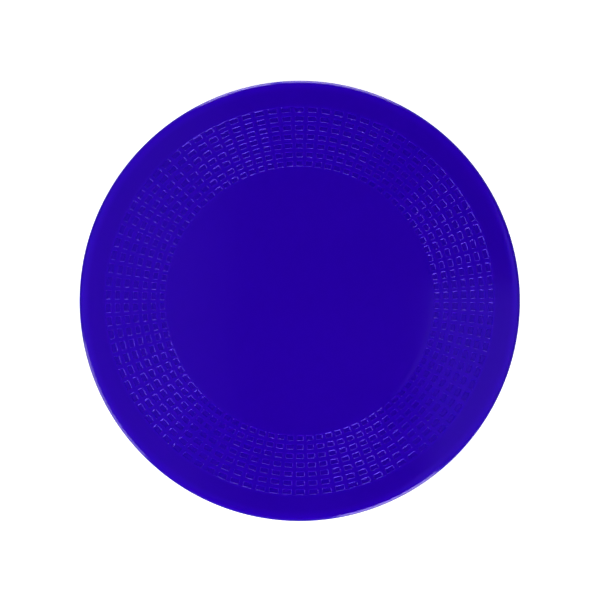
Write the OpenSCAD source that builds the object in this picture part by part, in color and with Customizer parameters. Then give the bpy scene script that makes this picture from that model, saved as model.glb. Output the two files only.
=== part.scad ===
// Round non-slip mat: one silicone rubber moulding with a sunken ring of ribbed grip pattern.
// Origin at the centre of the underside, +Z up, millimetres.

/* [Mat] */
// Diameter of the mat across its rim
mat_d = 190; // [180:1:230]
// Thickness of the mat at its centre and border
mat_t = 3.2; // [2.6:0.1:5]
// Rounding of the top edge of the rim
rim_top_r = 1.5; // [0.6:0.1:1.6]
// Rounding of the bottom edge of the rim
rim_bottom_r = 0.5; // [0.2:0.1:0.8]

/* [Grip band] */
// Radius at the inner wall of the innermost row of pockets
band_inner_r = 58.2; // [56:0.1:59]
// Number of pocket rows from the inside to the outside of the band
rows = 7; // [3:1:7]
// Number of pockets round each row
columns = 90; // [60:2:90]
// Length of a pocket along the radius
pocket_length = 2; // [1.6:0.1:2.2]
// Width of a ring rib, between one row of pockets and the next
ring_rib_w = 1.87; // [1.4:0.01:1.9]
// Share of each column's width that is pocket, where the rest is a radial rib
pocket_share = 0.655; // [0.5:0.005:0.7]
// Length of the flat that cuts each corner of a pocket, along either side
pocket_corner = 0.2; // [0.1:0.05:0.6]
// Width of the plain hoop at each edge of the lattice
hoop_w = 0.3; // [0.2:0.1:0.6]

/* [Relief] */
// Depth of a pocket's floor below the top of the mat
pocket_depth = 0.45; // [0.3:0.05:0.8]
// Drop from the top of the mat to the top of the ribs
rib_drop = 0.1; // [0.05:0.05:0.2]

/* [Hidden] */
mat_color = "MediumBlue";
lattice_color = "RoyalBlue";
mat_r = mat_d / 2;
row_pitch = pocket_length + ring_rib_w;
column_angle = 360 / columns;
band_outer_r = band_inner_r + (rows - 1) * row_pitch + pocket_length;
channel_inner_r = band_inner_r - hoop_w;
channel_outer_r = band_outer_r + hoop_w;
channel_floor_z = mat_t - pocket_depth;
lattice_h = pocket_depth - rib_drop;
cut_over = 1;
round_fn = 240;
edge_fn = 48;

// Half of the mat's section without its channel: a flat bar whose outer corners are rounded.
module plain_half_section() {
    square([mat_r - rim_top_r, mat_t]);
    square([mat_r - rim_bottom_r, mat_t - rim_top_r]);
    translate([0, rim_bottom_r])
        square([mat_r, mat_t - rim_top_r - rim_bottom_r]);
    translate([mat_r - rim_top_r, mat_t - rim_top_r])
        circle(r = rim_top_r, $fn = edge_fn);
    translate([mat_r - rim_bottom_r, rim_bottom_r])
        circle(r = rim_bottom_r, $fn = edge_fn);
}

// The disc: smooth centre, smooth border and rounded rim, with the channel that the lattice fills.
module mat_body() {
    color(mat_color)
        rotate_extrude($fn = round_fn)
            difference() {
                plain_half_section();
                translate([channel_inner_r, channel_floor_z])
                    square([channel_outer_r - channel_inner_r, pocket_depth + cut_over]);
            }
}

// Outline of one pocket: a rectangle with cut corners, its length along X and its width along Y.
module pocket_outline(width) {
    end_x = pocket_length / 2;
    side_y = width / 2;
    flat_x = end_x - pocket_corner;
    flat_y = side_y - pocket_corner;
    polygon([
        [end_x, flat_y],
        [flat_x, side_y],
        [-flat_x, side_y],
        [-end_x, flat_y],
        [-end_x, -flat_y],
        [-flat_x, -side_y],
        [flat_x, -side_y],
        [end_x, -flat_y]
    ]);
}

// Every pocket of one row, each as wide as its own radius makes it.
module pocket_row(row) {
    middle_r = band_inner_r + row * row_pitch + pocket_length / 2;
    width = 2 * middle_r * tan(pocket_share * column_angle / 2);
    for (column = [0:columns - 1])
        rotate((column + 0.5) * column_angle)
            translate([middle_r, 0])
                pocket_outline(width);
}

// The raised grip pattern: ring ribs and radial ribs in one openwork ring on the channel's floor.
module grip_lattice() {
    color(lattice_color)
        translate([0, 0, channel_floor_z])
            linear_extrude(height = lattice_h)
                difference() {
                    circle(r = channel_outer_r, $fn = round_fn);
                    circle(r = channel_inner_r, $fn = round_fn);
                    for (row = [0:rows - 1])
                        pocket_row(row);
                }
}

mat_body();
grip_lattice();
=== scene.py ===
"""Looks of the round non-slip mat: one continuous silicone moulding, its studio and its camera.

Metres, +Z up, in the CAD frame. The mat is one surface: rings of vertices make the smooth centre, the
border, the rim and the underside, and a cell for each pocket makes the sunken grip band between them.
"""

import math

import bpy
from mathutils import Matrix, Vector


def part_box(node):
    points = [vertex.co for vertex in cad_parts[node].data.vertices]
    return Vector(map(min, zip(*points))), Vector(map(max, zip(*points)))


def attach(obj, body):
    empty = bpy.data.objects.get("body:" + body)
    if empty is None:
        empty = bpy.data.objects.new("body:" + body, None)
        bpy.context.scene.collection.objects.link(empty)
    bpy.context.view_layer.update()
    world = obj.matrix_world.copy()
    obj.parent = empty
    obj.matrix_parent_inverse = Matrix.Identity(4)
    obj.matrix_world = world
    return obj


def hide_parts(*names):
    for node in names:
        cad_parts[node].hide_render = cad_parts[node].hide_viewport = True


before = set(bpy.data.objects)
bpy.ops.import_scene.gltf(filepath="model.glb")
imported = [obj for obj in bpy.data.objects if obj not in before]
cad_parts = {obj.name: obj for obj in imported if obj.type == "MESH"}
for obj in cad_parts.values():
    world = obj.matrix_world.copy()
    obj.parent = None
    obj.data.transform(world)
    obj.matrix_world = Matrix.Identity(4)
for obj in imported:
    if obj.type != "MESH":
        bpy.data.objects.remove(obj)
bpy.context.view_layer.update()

MM = 0.001

# Places from the frame
_, body_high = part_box("mat_body")
lattice_low, lattice_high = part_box("grip_lattice")
RIM_R = max(body_high.x, body_high.y)
TOP_Z = body_high.z
CHANNEL_OUTER_R = max(lattice_high.x, lattice_high.y)
RIB_TOP_Z = lattice_high.z
POCKET_FLOOR_Z = lattice_low.z

# The grip band, as in the CAD
COLUMNS = 90
ROWS = 7
HOOP_W = 0.3 * MM
POCKET_LENGTH = 2.0 * MM
RING_RIB_W = 1.87 * MM
POCKET_SHARE = 0.655
ROW_PITCH = POCKET_LENGTH + RING_RIB_W
BAND_OUTER_R = CHANNEL_OUTER_R - HOOP_W
BAND_INNER_R = BAND_OUTER_R - (ROWS - 1) * ROW_PITCH - POCKET_LENGTH
CHANNEL_INNER_R = BAND_INNER_R - HOOP_W

# Roundings
POCKET_CORNER_R = 0.3 * MM
POCKET_FILLET_R = 0.2 * MM
CHANNEL_INNER_FILLET_R = 0.022 * MM
CHANNEL_OUTER_FILLET_R = 0.05 * MM
STEEPEST_WALL = math.radians(80)
RIM_BOTTOM_R = 0.5 * MM
CENTRE_ROLL_R = 2.2 * MM
CENTRE_ROLL_DROP = 0.03 * MM
PARTING_RIDGE = 0.05 * MM

# The rim's arcs from the flat border to its upright side, as (radius, tilt where the arc ends)
RIM_ARCS = [
    (60.0 * MM, math.radians(3)),
    (1.3 * MM, math.radians(35)),
    (5.0 * MM, math.radians(45)),
    (0.2 * MM, math.radians(90)),
]

# Painted light and shade in the base colour, by radius: a lighter grip band, a slightly darker border, a
# painted glow just inside the rim standing in for light through the translucent edge, and painted shade
# darkening the rim's outer edge
PAINTED_LIGHT_BY_RADIUS = [
    (0.0570, 1.00),
    (0.0585, 1.06),
    (0.0838, 1.06),
    (0.0850, 0.96),
    (0.0905, 0.985),
    (0.0932, 1.18),
    (0.0937, 1.07),
    (0.0942, 0.90),
    (0.0947, 0.75),
]

# How finely curves are cut
CORNER_STEPS = 3
FILLET_STEPS = 3
RIM_ARC_STEPS = 5
SIDES_PER_COLUMN = 3
ROLL_STEPS = 4

# Rings that divide the flat stretches, as shares of their radius
CENTRE_SHARES = (0.4, 0.7, 1.0)
UNDERSIDE_SHARES = (0.97, 0.7, 0.4)


class Surface:
    """Vertices with their true normals, and the faces between them."""

    def __init__(self):
        self.points = []
        self.normals = []
        self.faces = []

    def vertex(self, radius, angle, z, normal):
        """Adds a vertex at polar coordinates, and returns its index."""
        self.points.append((radius * math.cos(angle), radius * math.sin(angle), z))
        self.normals.append(normal)
        return len(self.points) - 1

    def ring(self, radius, z, tilt=0.0):
        """A full ring of vertices whose normals lean outwards by tilt from straight up."""
        indices = []
        sides = COLUMNS * SIDES_PER_COLUMN
        for side in range(sides):
            angle = 2 * math.pi * side / sides
            lean = math.sin(tilt)
            normal = (lean * math.cos(angle), lean * math.sin(angle), math.cos(tilt))
            indices.append(self.vertex(radius, angle, z, normal))
        return indices

    def join(self, inner, outer):
        """Quads between two rings, facing up when outer is the wider ring."""
        for here in range(len(inner)):
            after = (here + 1) % len(inner)
            self.faces.append((inner[here], outer[here], outer[after], inner[after]))

    def section(self, start, stations):
        """Joins ring after ring of (radius, z, tilt) to the ring start, and returns the last ring."""
        for radius, z, tilt in stations:
            ring = self.ring(radius, z, tilt)
            self.join(start, ring)
            start = ring
        return start

    def cap(self, ring, centre_z, normal):
        """Closes a ring with a fan to its centre, facing the way that normal does."""
        centre = self.vertex(0, 0, centre_z, normal)
        for here in range(len(ring)):
            after = (here + 1) % len(ring)
            self.faces.append((centre, ring[here], ring[after]))


def wall_section(drop, fillet_r):
    """A wall from its top edge to its foot as (run, fall, tilt), with equal fillets, centred on run 0."""
    turn = min(STEEPEST_WALL, math.acos(max(-1.0, 1 - drop / (2 * fillet_r))))
    straight_fall = drop - 2 * fillet_r * (1 - math.cos(turn))
    half_run = fillet_r * math.sin(turn) + straight_fall / math.tan(turn) / 2
    tilts = [turn * step / FILLET_STEPS for step in range(FILLET_STEPS + 1)]
    upper = [
        (fillet_r * math.sin(tilt) - half_run, fillet_r * (1 - math.cos(tilt)), tilt)
        for tilt in tilts
    ]
    lower = [(-run, drop - fall, tilt) for run, fall, tilt in reversed(upper)]
    return upper + lower


def pocket_loops(surface, middle_r, middle_angle, half_length, half_width):
    """The wall of one pocket as loops of vertices, from the rib's edge down to the floor."""
    loops = []
    centre_u = half_length - POCKET_CORNER_R
    centre_v = half_width - POCKET_CORNER_R
    for run, fall, tilt in wall_section(RIB_TOP_Z - POCKET_FLOOR_Z, POCKET_FILLET_R):
        corner_r = POCKET_CORNER_R - run
        loop = []
        for corner, (side_u, side_v) in enumerate([(1, 1), (-1, 1), (-1, -1), (1, -1)]):
            for step in range(CORNER_STEPS + 1):
                turn = math.radians(90) * (corner + step / CORNER_STEPS)
                along = side_u * centre_u + corner_r * math.cos(turn)
                across = side_v * centre_v + corner_r * math.sin(turn)
                angle = middle_angle + across / middle_r
                facing = angle + turn
                lean = -math.sin(tilt)
                normal = (lean * math.cos(facing), lean * math.sin(facing), math.cos(tilt))
                z = RIB_TOP_Z - fall
                loop.append(surface.vertex(middle_r + along, angle, z, normal))
        loops.append(loop)
    return loops


def rib_faces(loop, outer, inner, spoke, next_spoke):
    """The flat rib surface from a pocket's edge out to the borders of its cell."""
    per_corner = CORNER_STEPS + 1
    first = [corner * per_corner for corner in range(4)]
    last = [start + CORNER_STEPS for start in first]
    borders = [
        (outer[2], outer[3], next_spoke[1]),
        (next_spoke[0], inner[3], inner[2]),
        (inner[1], inner[0], spoke[0]),
        (spoke[1], outer[0], outer[1]),
    ]
    faces = []
    for corner in range(4):
        arc = [loop[index] for index in range(last[corner], first[corner] - 1, -1)]
        faces.append((*borders[corner], *arc))
        before = borders[corner - 1][2]
        after = borders[corner][0]
        faces.append((loop[last[corner - 1]], before, after, loop[first[corner]]))
    return faces


def add_pocket_rows(surface, inner_ring):
    """The grip band from the ring at its inner edge, and the ring at its outer edge."""
    step_run = wall_section(TOP_Z - RIB_TOP_Z, CHANNEL_OUTER_FILLET_R)[-1][0]
    column_angle = 2 * math.pi / COLUMNS
    up = (0, 0, 1)
    for row in range(ROWS):
        row_inner_r = BAND_INNER_R + row * ROW_PITCH
        middle_r = row_inner_r + POCKET_LENGTH / 2
        half_width = middle_r * POCKET_SHARE * column_angle / 2
        is_last = row == ROWS - 1
        outer_r = CHANNEL_OUTER_R - step_run if is_last else row_inner_r + ROW_PITCH - RING_RIB_W / 2
        outer_ring = surface.ring(outer_r, RIB_TOP_Z)
        reach = POCKET_LENGTH / 2 - POCKET_CORNER_R
        spokes = [
            [
                surface.vertex(middle_r + side * reach, column * column_angle, RIB_TOP_Z, up)
                for side in (-1, 1)
            ]
            for column in range(COLUMNS)
        ]
        for column in range(COLUMNS):
            loops = pocket_loops(
                surface, middle_r, (column + 0.5) * column_angle, POCKET_LENGTH / 2, half_width
            )
            corners = [
                (column * SIDES_PER_COLUMN + side) % len(outer_ring)
                for side in range(SIDES_PER_COLUMN + 1)
            ]
            surface.faces += rib_faces(
                loops[0],
                [outer_ring[index] for index in corners],
                [inner_ring[index] for index in corners],
                spokes[column],
                spokes[(column + 1) % COLUMNS],
            )
            for wide, narrow in zip(loops, loops[1:]):
                for here in range(len(wide)):
                    after = (here + 1) % len(wide)
                    surface.faces.append((wide[here], wide[after], narrow[after], narrow[here]))
            surface.faces.append(tuple(loops[-1]))
        inner_ring = outer_ring
    return inner_ring


def centre_stations():
    """The smooth centre from a small ring outwards, its softened edge and the step down to the ribs."""
    roll_start_r = CHANNEL_INNER_R - CENTRE_ROLL_R
    stations = [(roll_start_r * share, TOP_Z, 0.0) for share in CENTRE_SHARES]
    for step in range(1, ROLL_STEPS):
        share = step / ROLL_STEPS
        tilt = math.atan(2 * share * CENTRE_ROLL_DROP / CENTRE_ROLL_R)
        stations.append(
            (roll_start_r + share * CENTRE_ROLL_R, TOP_Z - CENTRE_ROLL_DROP * share**2, tilt)
        )
    edge_z = TOP_Z - CENTRE_ROLL_DROP
    for run, fall, tilt in wall_section(edge_z - RIB_TOP_Z, CHANNEL_INNER_FILLET_R):
        stations.append((CHANNEL_INNER_R + run, edge_z - fall, tilt))
    return stations


def rim_stations():
    """The rim's top edge, arc after arc, from the flat border out to the upright side."""
    tilts = [0.0] + [tilt for _, tilt in RIM_ARCS]
    spans = list(zip(tilts, RIM_ARCS))
    radius = RIM_R - sum(arc_r * (math.sin(end) - math.sin(start)) for start, (arc_r, end) in spans)
    z = TOP_Z
    stations = [(radius, z, 0.0)]
    for start, (arc_r, end) in spans:
        for step in range(1, RIM_ARC_STEPS + 1):
            tilt = start + (end - start) * step / RIM_ARC_STEPS
            run = arc_r * (math.sin(tilt) - math.sin(start))
            fall = arc_r * (math.cos(start) - math.cos(tilt))
            stations.append((radius + run, z - fall, tilt))
        radius, z, _ = stations[-1]
    return stations


def border_stations():
    """The step up from the ribs, the smooth border, the rounded rim and the flat underside."""
    stations = []
    for run, fall, tilt in reversed(wall_section(TOP_Z - RIB_TOP_Z, CHANNEL_OUTER_FILLET_R)[:-1]):
        stations.append((CHANNEL_OUTER_R - run, TOP_Z - fall, -tilt))
    stations += rim_stations()
    side = RIM_ARCS[-1][1]
    ridge_z = RIM_BOTTOM_R + 2 * PARTING_RIDGE
    stations += [
        (RIM_R, ridge_z + 2 * PARTING_RIDGE, side),
        (RIM_R + PARTING_RIDGE, ridge_z, side),
        (RIM_R, ridge_z - 2 * PARTING_RIDGE, side),
    ]
    for step in range(1, FILLET_STEPS + 1):
        tilt = side + math.radians(90) * step / FILLET_STEPS
        radius = RIM_R - RIM_BOTTOM_R * (1 - math.sin(tilt))
        stations.append((radius, RIM_BOTTOM_R * (1 + math.cos(tilt)), tilt))
    flat_r = RIM_R - RIM_BOTTOM_R
    stations += [(flat_r * share, 0.0, math.pi) for share in UNDERSIDE_SHARES]
    return stations


def mat_mesh():
    """The whole mat as one closed mesh with its true normals."""
    surface = Surface()
    stations = centre_stations()
    first = surface.ring(*stations[0])
    surface.cap(first, TOP_Z, (0, 0, 1))
    band_inner = surface.section(first, stations[1:])
    band_outer = add_pocket_rows(surface, band_inner)
    last = surface.section(band_outer, border_stations())
    surface.cap(last[::-1], 0.0, (0, 0, -1))
    mesh = bpy.data.meshes.new("mat")
    mesh.from_pydata(surface.points, [], surface.faces)
    mesh.shade_smooth()
    mesh.normals_split_custom_set_from_vertices(surface.normals)
    return mesh


# Materials

# The rubber's two close shades of blue, and its tint where it mirrors: on the top and at the rim's edge
BLUE_DEEP = (0.0239, 0.0000, 0.459, 1)
BLUE_BRIGHT = (0.0269, 0.0002, 0.498, 1)
SHEEN_TOP = (1.0, 0.48, 3.7, 1)
SHEEN_EDGE = (1.0, 0.8, 1.0, 1)
SHEEN_CHANGE_R = (0.0932, 0.0942)
SILICONE_IOR = 1.41
LIGHT_DEPTH = 1.2 * MM

# The gloss seen from above, and how it changes as the view goes from facing it (0) to edge on (1)
ROUGHNESS = (0.06, 0.11)
LOW_ANGLE_ROUGHNESS = 0.3
ROUGHER_OVER = (0.2, 0.6)
MIRROR_STRENGTH = (0.5, 0.02)
MIRROR_FADES_OVER = (0.3, 0.7)

# Heights of the surface's unevenness
WAVE_H = 0.03 * MM
GRAIN_H = 0.001 * MM

# Noises, as (scale per metre, detail)
TINT_NOISE = (22, 3)
SMUDGE_NOISE = (45, 5)
WAVE_NOISE = (30, 1)
GRAIN_NOISE = (2600, 2)

FLOOR_GREY = (0.8, 0.8, 0.8, 1)
FLOOR_GLOW = (1.0, 1.0, 0.985, 1)
FLOOR_GLOW_STRENGTH = 0.8


def new_material(name):
    """A node material with its Principled shader, as (material, nodes, link, shader)."""
    material = bpy.data.materials.new(name)
    material.use_nodes = True
    tree = material.node_tree
    return material, tree.nodes, tree.links.new, tree.nodes["Principled BSDF"]


def noise(nodes, link, coordinate, scale, detail):
    """A noise texture at a scale per metre."""
    node = nodes.new("ShaderNodeTexNoise")
    node.inputs["Scale"].default_value = scale
    node.inputs["Detail"].default_value = detail
    link(coordinate, node.inputs["Vector"])
    return node.outputs["Fac"]


def spread(nodes, link, value, low, high, from_low=0.3, from_high=0.7):
    """Maps from_low..from_high, by default the middle of a noise's range, to low..high."""
    node = nodes.new("ShaderNodeMapRange")
    node.inputs["From Min"].default_value = from_low
    node.inputs["From Max"].default_value = from_high
    node.inputs["To Min"].default_value = low
    node.inputs["To Max"].default_value = high
    link(value, node.inputs["Value"])
    return node.outputs["Result"]


def ramp(nodes, link, value, stops):
    """A curve through (value, level) stops, as a chain of linear steps added together."""
    total = None
    for (from_low, low), (from_high, high) in zip(stops, stops[1:]):
        base = low if total is None else 0.0
        part = spread(nodes, link, value, base, base + high - low, from_low, from_high)
        if total is None:
            total = part
            continue
        add = nodes.new("ShaderNodeMath")
        link(total, add.inputs[0])
        link(part, add.inputs[1])
        total = add.outputs["Value"]
    return total


def bump(nodes, link, height, distance, normal=None):
    """A bump of a real height in metres, on top of another if normal is given."""
    node = nodes.new("ShaderNodeBump")
    node.inputs["Strength"].default_value = 1.0
    node.inputs["Distance"].default_value = distance
    link(height, node.inputs["Height"])
    if normal is not None:
        link(normal, node.inputs["Normal"])
    return node.outputs["Normal"]


def silicone_material():
    """Glossy, slightly translucent blue silicone rubber, whose gloss fades at low angles."""
    material, nodes, link, shader = new_material("blue_silicone")
    coordinate = nodes.new("ShaderNodeTexCoord").outputs["Object"]

    flat = nodes.new("ShaderNodeVectorMath")
    flat.operation = "MULTIPLY"
    flat.inputs[1].default_value = (1, 1, 0)
    link(coordinate, flat.inputs[0])
    length = nodes.new("ShaderNodeVectorMath")
    length.operation = "LENGTH"
    link(flat.outputs["Vector"], length.inputs[0])
    radius = length.outputs["Value"]

    tint = nodes.new("ShaderNodeMix")
    tint.data_type = "RGBA"
    tint.inputs["A"].default_value = BLUE_DEEP
    tint.inputs["B"].default_value = BLUE_BRIGHT
    link(noise(nodes, link, coordinate, *TINT_NOISE), tint.inputs["Factor"])
    # The base colour is scaled by radius to paint light and shade: a lighter band, a glow inside the rim and
    # a darker rim edge
    painted_light = nodes.new("ShaderNodeVectorMath")
    painted_light.operation = "SCALE"
    link(tint.outputs["Result"], painted_light.inputs[0])
    link(ramp(nodes, link, radius, PAINTED_LIGHT_BY_RADIUS), painted_light.inputs["Scale"])
    link(painted_light.outputs["Vector"], shader.inputs["Base Color"])

    facing = nodes.new("ShaderNodeLayerWeight").outputs["Facing"]
    smudges = noise(nodes, link, coordinate, *SMUDGE_NOISE)
    roughness = nodes.new("ShaderNodeMath")
    link(spread(nodes, link, smudges, *ROUGHNESS), roughness.inputs[0])
    link(spread(nodes, link, facing, 0.0, LOW_ANGLE_ROUGHNESS, *ROUGHER_OVER), roughness.inputs[1])
    link(roughness.outputs["Value"], shader.inputs["Roughness"])
    mirror = spread(nodes, link, facing, *MIRROR_STRENGTH, *MIRROR_FADES_OVER)
    link(mirror, shader.inputs["Specular IOR Level"])

    waves = bump(nodes, link, noise(nodes, link, coordinate, *WAVE_NOISE), WAVE_H)
    grain = bump(nodes, link, noise(nodes, link, coordinate, *GRAIN_NOISE), GRAIN_H, waves)
    link(grain, shader.inputs["Normal"])

    sheen = nodes.new("ShaderNodeMix")
    sheen.data_type = "RGBA"
    sheen.inputs["A"].default_value = SHEEN_TOP
    sheen.inputs["B"].default_value = SHEEN_EDGE
    link(spread(nodes, link, radius, 0, 1, *SHEEN_CHANGE_R), sheen.inputs["Factor"])
    link(sheen.outputs["Result"], shader.inputs["Specular Tint"])
    shader.inputs["IOR"].default_value = SILICONE_IOR
    shader.inputs["Subsurface Weight"].default_value = 1.0
    shader.inputs["Subsurface Radius"].default_value = (1.0, 1.0, 1.0)
    shader.inputs["Subsurface Scale"].default_value = LIGHT_DEPTH
    return material


def floor_material():
    """Plain white studio floor."""
    material, _, _, shader = new_material("studio_white")
    shader.inputs["Base Color"].default_value = FLOOR_GREY
    shader.inputs["Roughness"].default_value = 1.0
    shader.inputs["Specular IOR Level"].default_value = 0.0
    shader.inputs["Emission Color"].default_value = FLOOR_GLOW
    shader.inputs["Emission Strength"].default_value = FLOOR_GLOW_STRENGTH
    return material


# Studio

CAMERA_LENS = 135.0
CAMERA_DISTANCE = 0.9692
CAMERA_ROLL = -0.15
CAMERA_X = 0.1 * MM
CAMERA_Y = 0.4 * MM
FLOOR_R = 7.0

# Standing softboxes: azimuth, width and top elevation in degrees, distance, radiance
SOFTBOXES = {
    "softbox_back": (79, 31, 56, 1.0, 1.5),
    "softbox_back_low": (79, 31, 20, 1.01, 6.1),
    "softbox_back_left": (107, 20, 56, 0.5, 1.6),
    "softbox_back_left_low": (107, 20, 20, 0.51, 6.5),
    "softbox_front_right": (-66, 28, 54, 0.75, 7.4),
    "softbox_front_left": (-152, 34, 53, 0.48, 4.0),
}

# Ceiling panels: two opposite corners, radiance
CEILING_Z = 1.1
CEILING_PANELS = {
    "ceiling_left_edge": ((-0.1, -0.26), (-0.065, 0.26), 0.08),
    "ceiling_left": ((-0.24, -0.26), (-0.1, 0.26), 0.16),
    "ceiling_far_left": ((-0.95, -0.3), (-0.24, 0.3), 0.3),
    "ceiling_right": ((0.118, -0.26), (0.26, 0.015), 0.3),
    "ceiling_far_right": ((0.26, -0.4), (0.95, 0.15), 0.42),
}

# How bright the room is by the height of the direction, from straight down to straight up
ROOM_BY_HEIGHT = [(-0.3, 0.8), (-0.1, 0.16), (0.1, 0.16), (0.85, 0.0)]


def floor_mesh():
    """A wide floor with a hole under the mat's flat, because two faces in one plane would flicker."""
    surface = Surface()
    inner = surface.ring(RIM_R - RIM_BOTTOM_R, 0.0)
    surface.join(inner, surface.ring(FLOOR_R, 0.0))
    mesh = bpy.data.meshes.new("studio_floor")
    mesh.from_pydata(surface.points, [], surface.faces)
    return mesh


def softbox(name, azimuth, spread_angle, elevation, distance, radiance):
    """A standing softbox that spans an angle seen from the mat and reaches from the floor to an elevation."""
    width = 2 * distance * math.tan(math.radians(spread_angle) / 2)
    height = distance * math.tan(math.radians(elevation))
    light = bpy.data.lights.new(name, "AREA")
    light.shape = "RECTANGLE"
    light.size = width
    light.size_y = height
    light.energy = radiance * math.pi * width * height
    lamp = bpy.data.objects.new(name, light)
    turn = math.radians(azimuth)
    lamp.location = (distance * math.cos(turn), distance * math.sin(turn), height / 2)
    lamp.rotation_euler = (math.radians(90), 0, turn + math.radians(90))
    bpy.context.scene.collection.objects.link(lamp)


def ceiling_panel(name, low, high, radiance):
    """A dim flat panel overhead, between two corners, that the glossy surface mirrors."""
    light = bpy.data.lights.new(name, "AREA")
    light.shape = "RECTANGLE"
    light.size = high[0] - low[0]
    light.size_y = high[1] - low[1]
    light.energy = radiance * math.pi * light.size * light.size_y
    lamp = bpy.data.objects.new(name, light)
    lamp.location = ((low[0] + high[0]) / 2, (low[1] + high[1]) / 2, CEILING_Z)
    bpy.context.scene.collection.objects.link(lamp)


def world_light():
    """A dim studio room: dark overhead, pale low down, and bright below for a look at the underside."""
    world = bpy.data.worlds.new("studio")
    world.use_nodes = True
    nodes, link = world.node_tree.nodes, world.node_tree.links.new
    direction = nodes.new("ShaderNodeTexCoord").outputs["Generated"]
    split = nodes.new("ShaderNodeSeparateXYZ")
    link(direction, split.inputs["Vector"])
    level = ramp(nodes, link, split.outputs["Z"], ROOM_BY_HEIGHT)
    link(level, nodes["Background"].inputs["Strength"])
    nodes["Background"].inputs["Color"].default_value = (1.0, 1.0, 1.0, 1)
    bpy.context.scene.world = world


def studio():
    """Floor, lights, world and colour handling."""
    floor = bpy.data.objects.new("studio_floor", floor_mesh())
    bpy.context.scene.collection.objects.link(floor)
    floor.data.materials.append(floor_material())
    for name, values in SOFTBOXES.items():
        softbox(name, *values)
    for name, values in CEILING_PANELS.items():
        ceiling_panel(name, *values)
    world_light()
    bpy.context.scene.view_settings.view_transform = "Standard"


def camera():
    """Straight above the mat, with the photograph's framing."""
    data = bpy.data.cameras.new("camera")
    data.lens = CAMERA_LENS
    view = bpy.data.objects.new("camera", data)
    view.location = (CAMERA_X, CAMERA_Y, TOP_Z + CAMERA_DISTANCE)
    view.rotation_euler = (0, 0, math.radians(CAMERA_ROLL))
    bpy.context.scene.collection.objects.link(view)
    bpy.context.scene.camera = view


camera()
mat = bpy.data.objects.new("mat", mat_mesh())
bpy.context.scene.collection.objects.link(mat)
mat.data.materials.append(silicone_material())
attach(mat, "root")
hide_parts("mat_body", "grip_lattice")
studio()
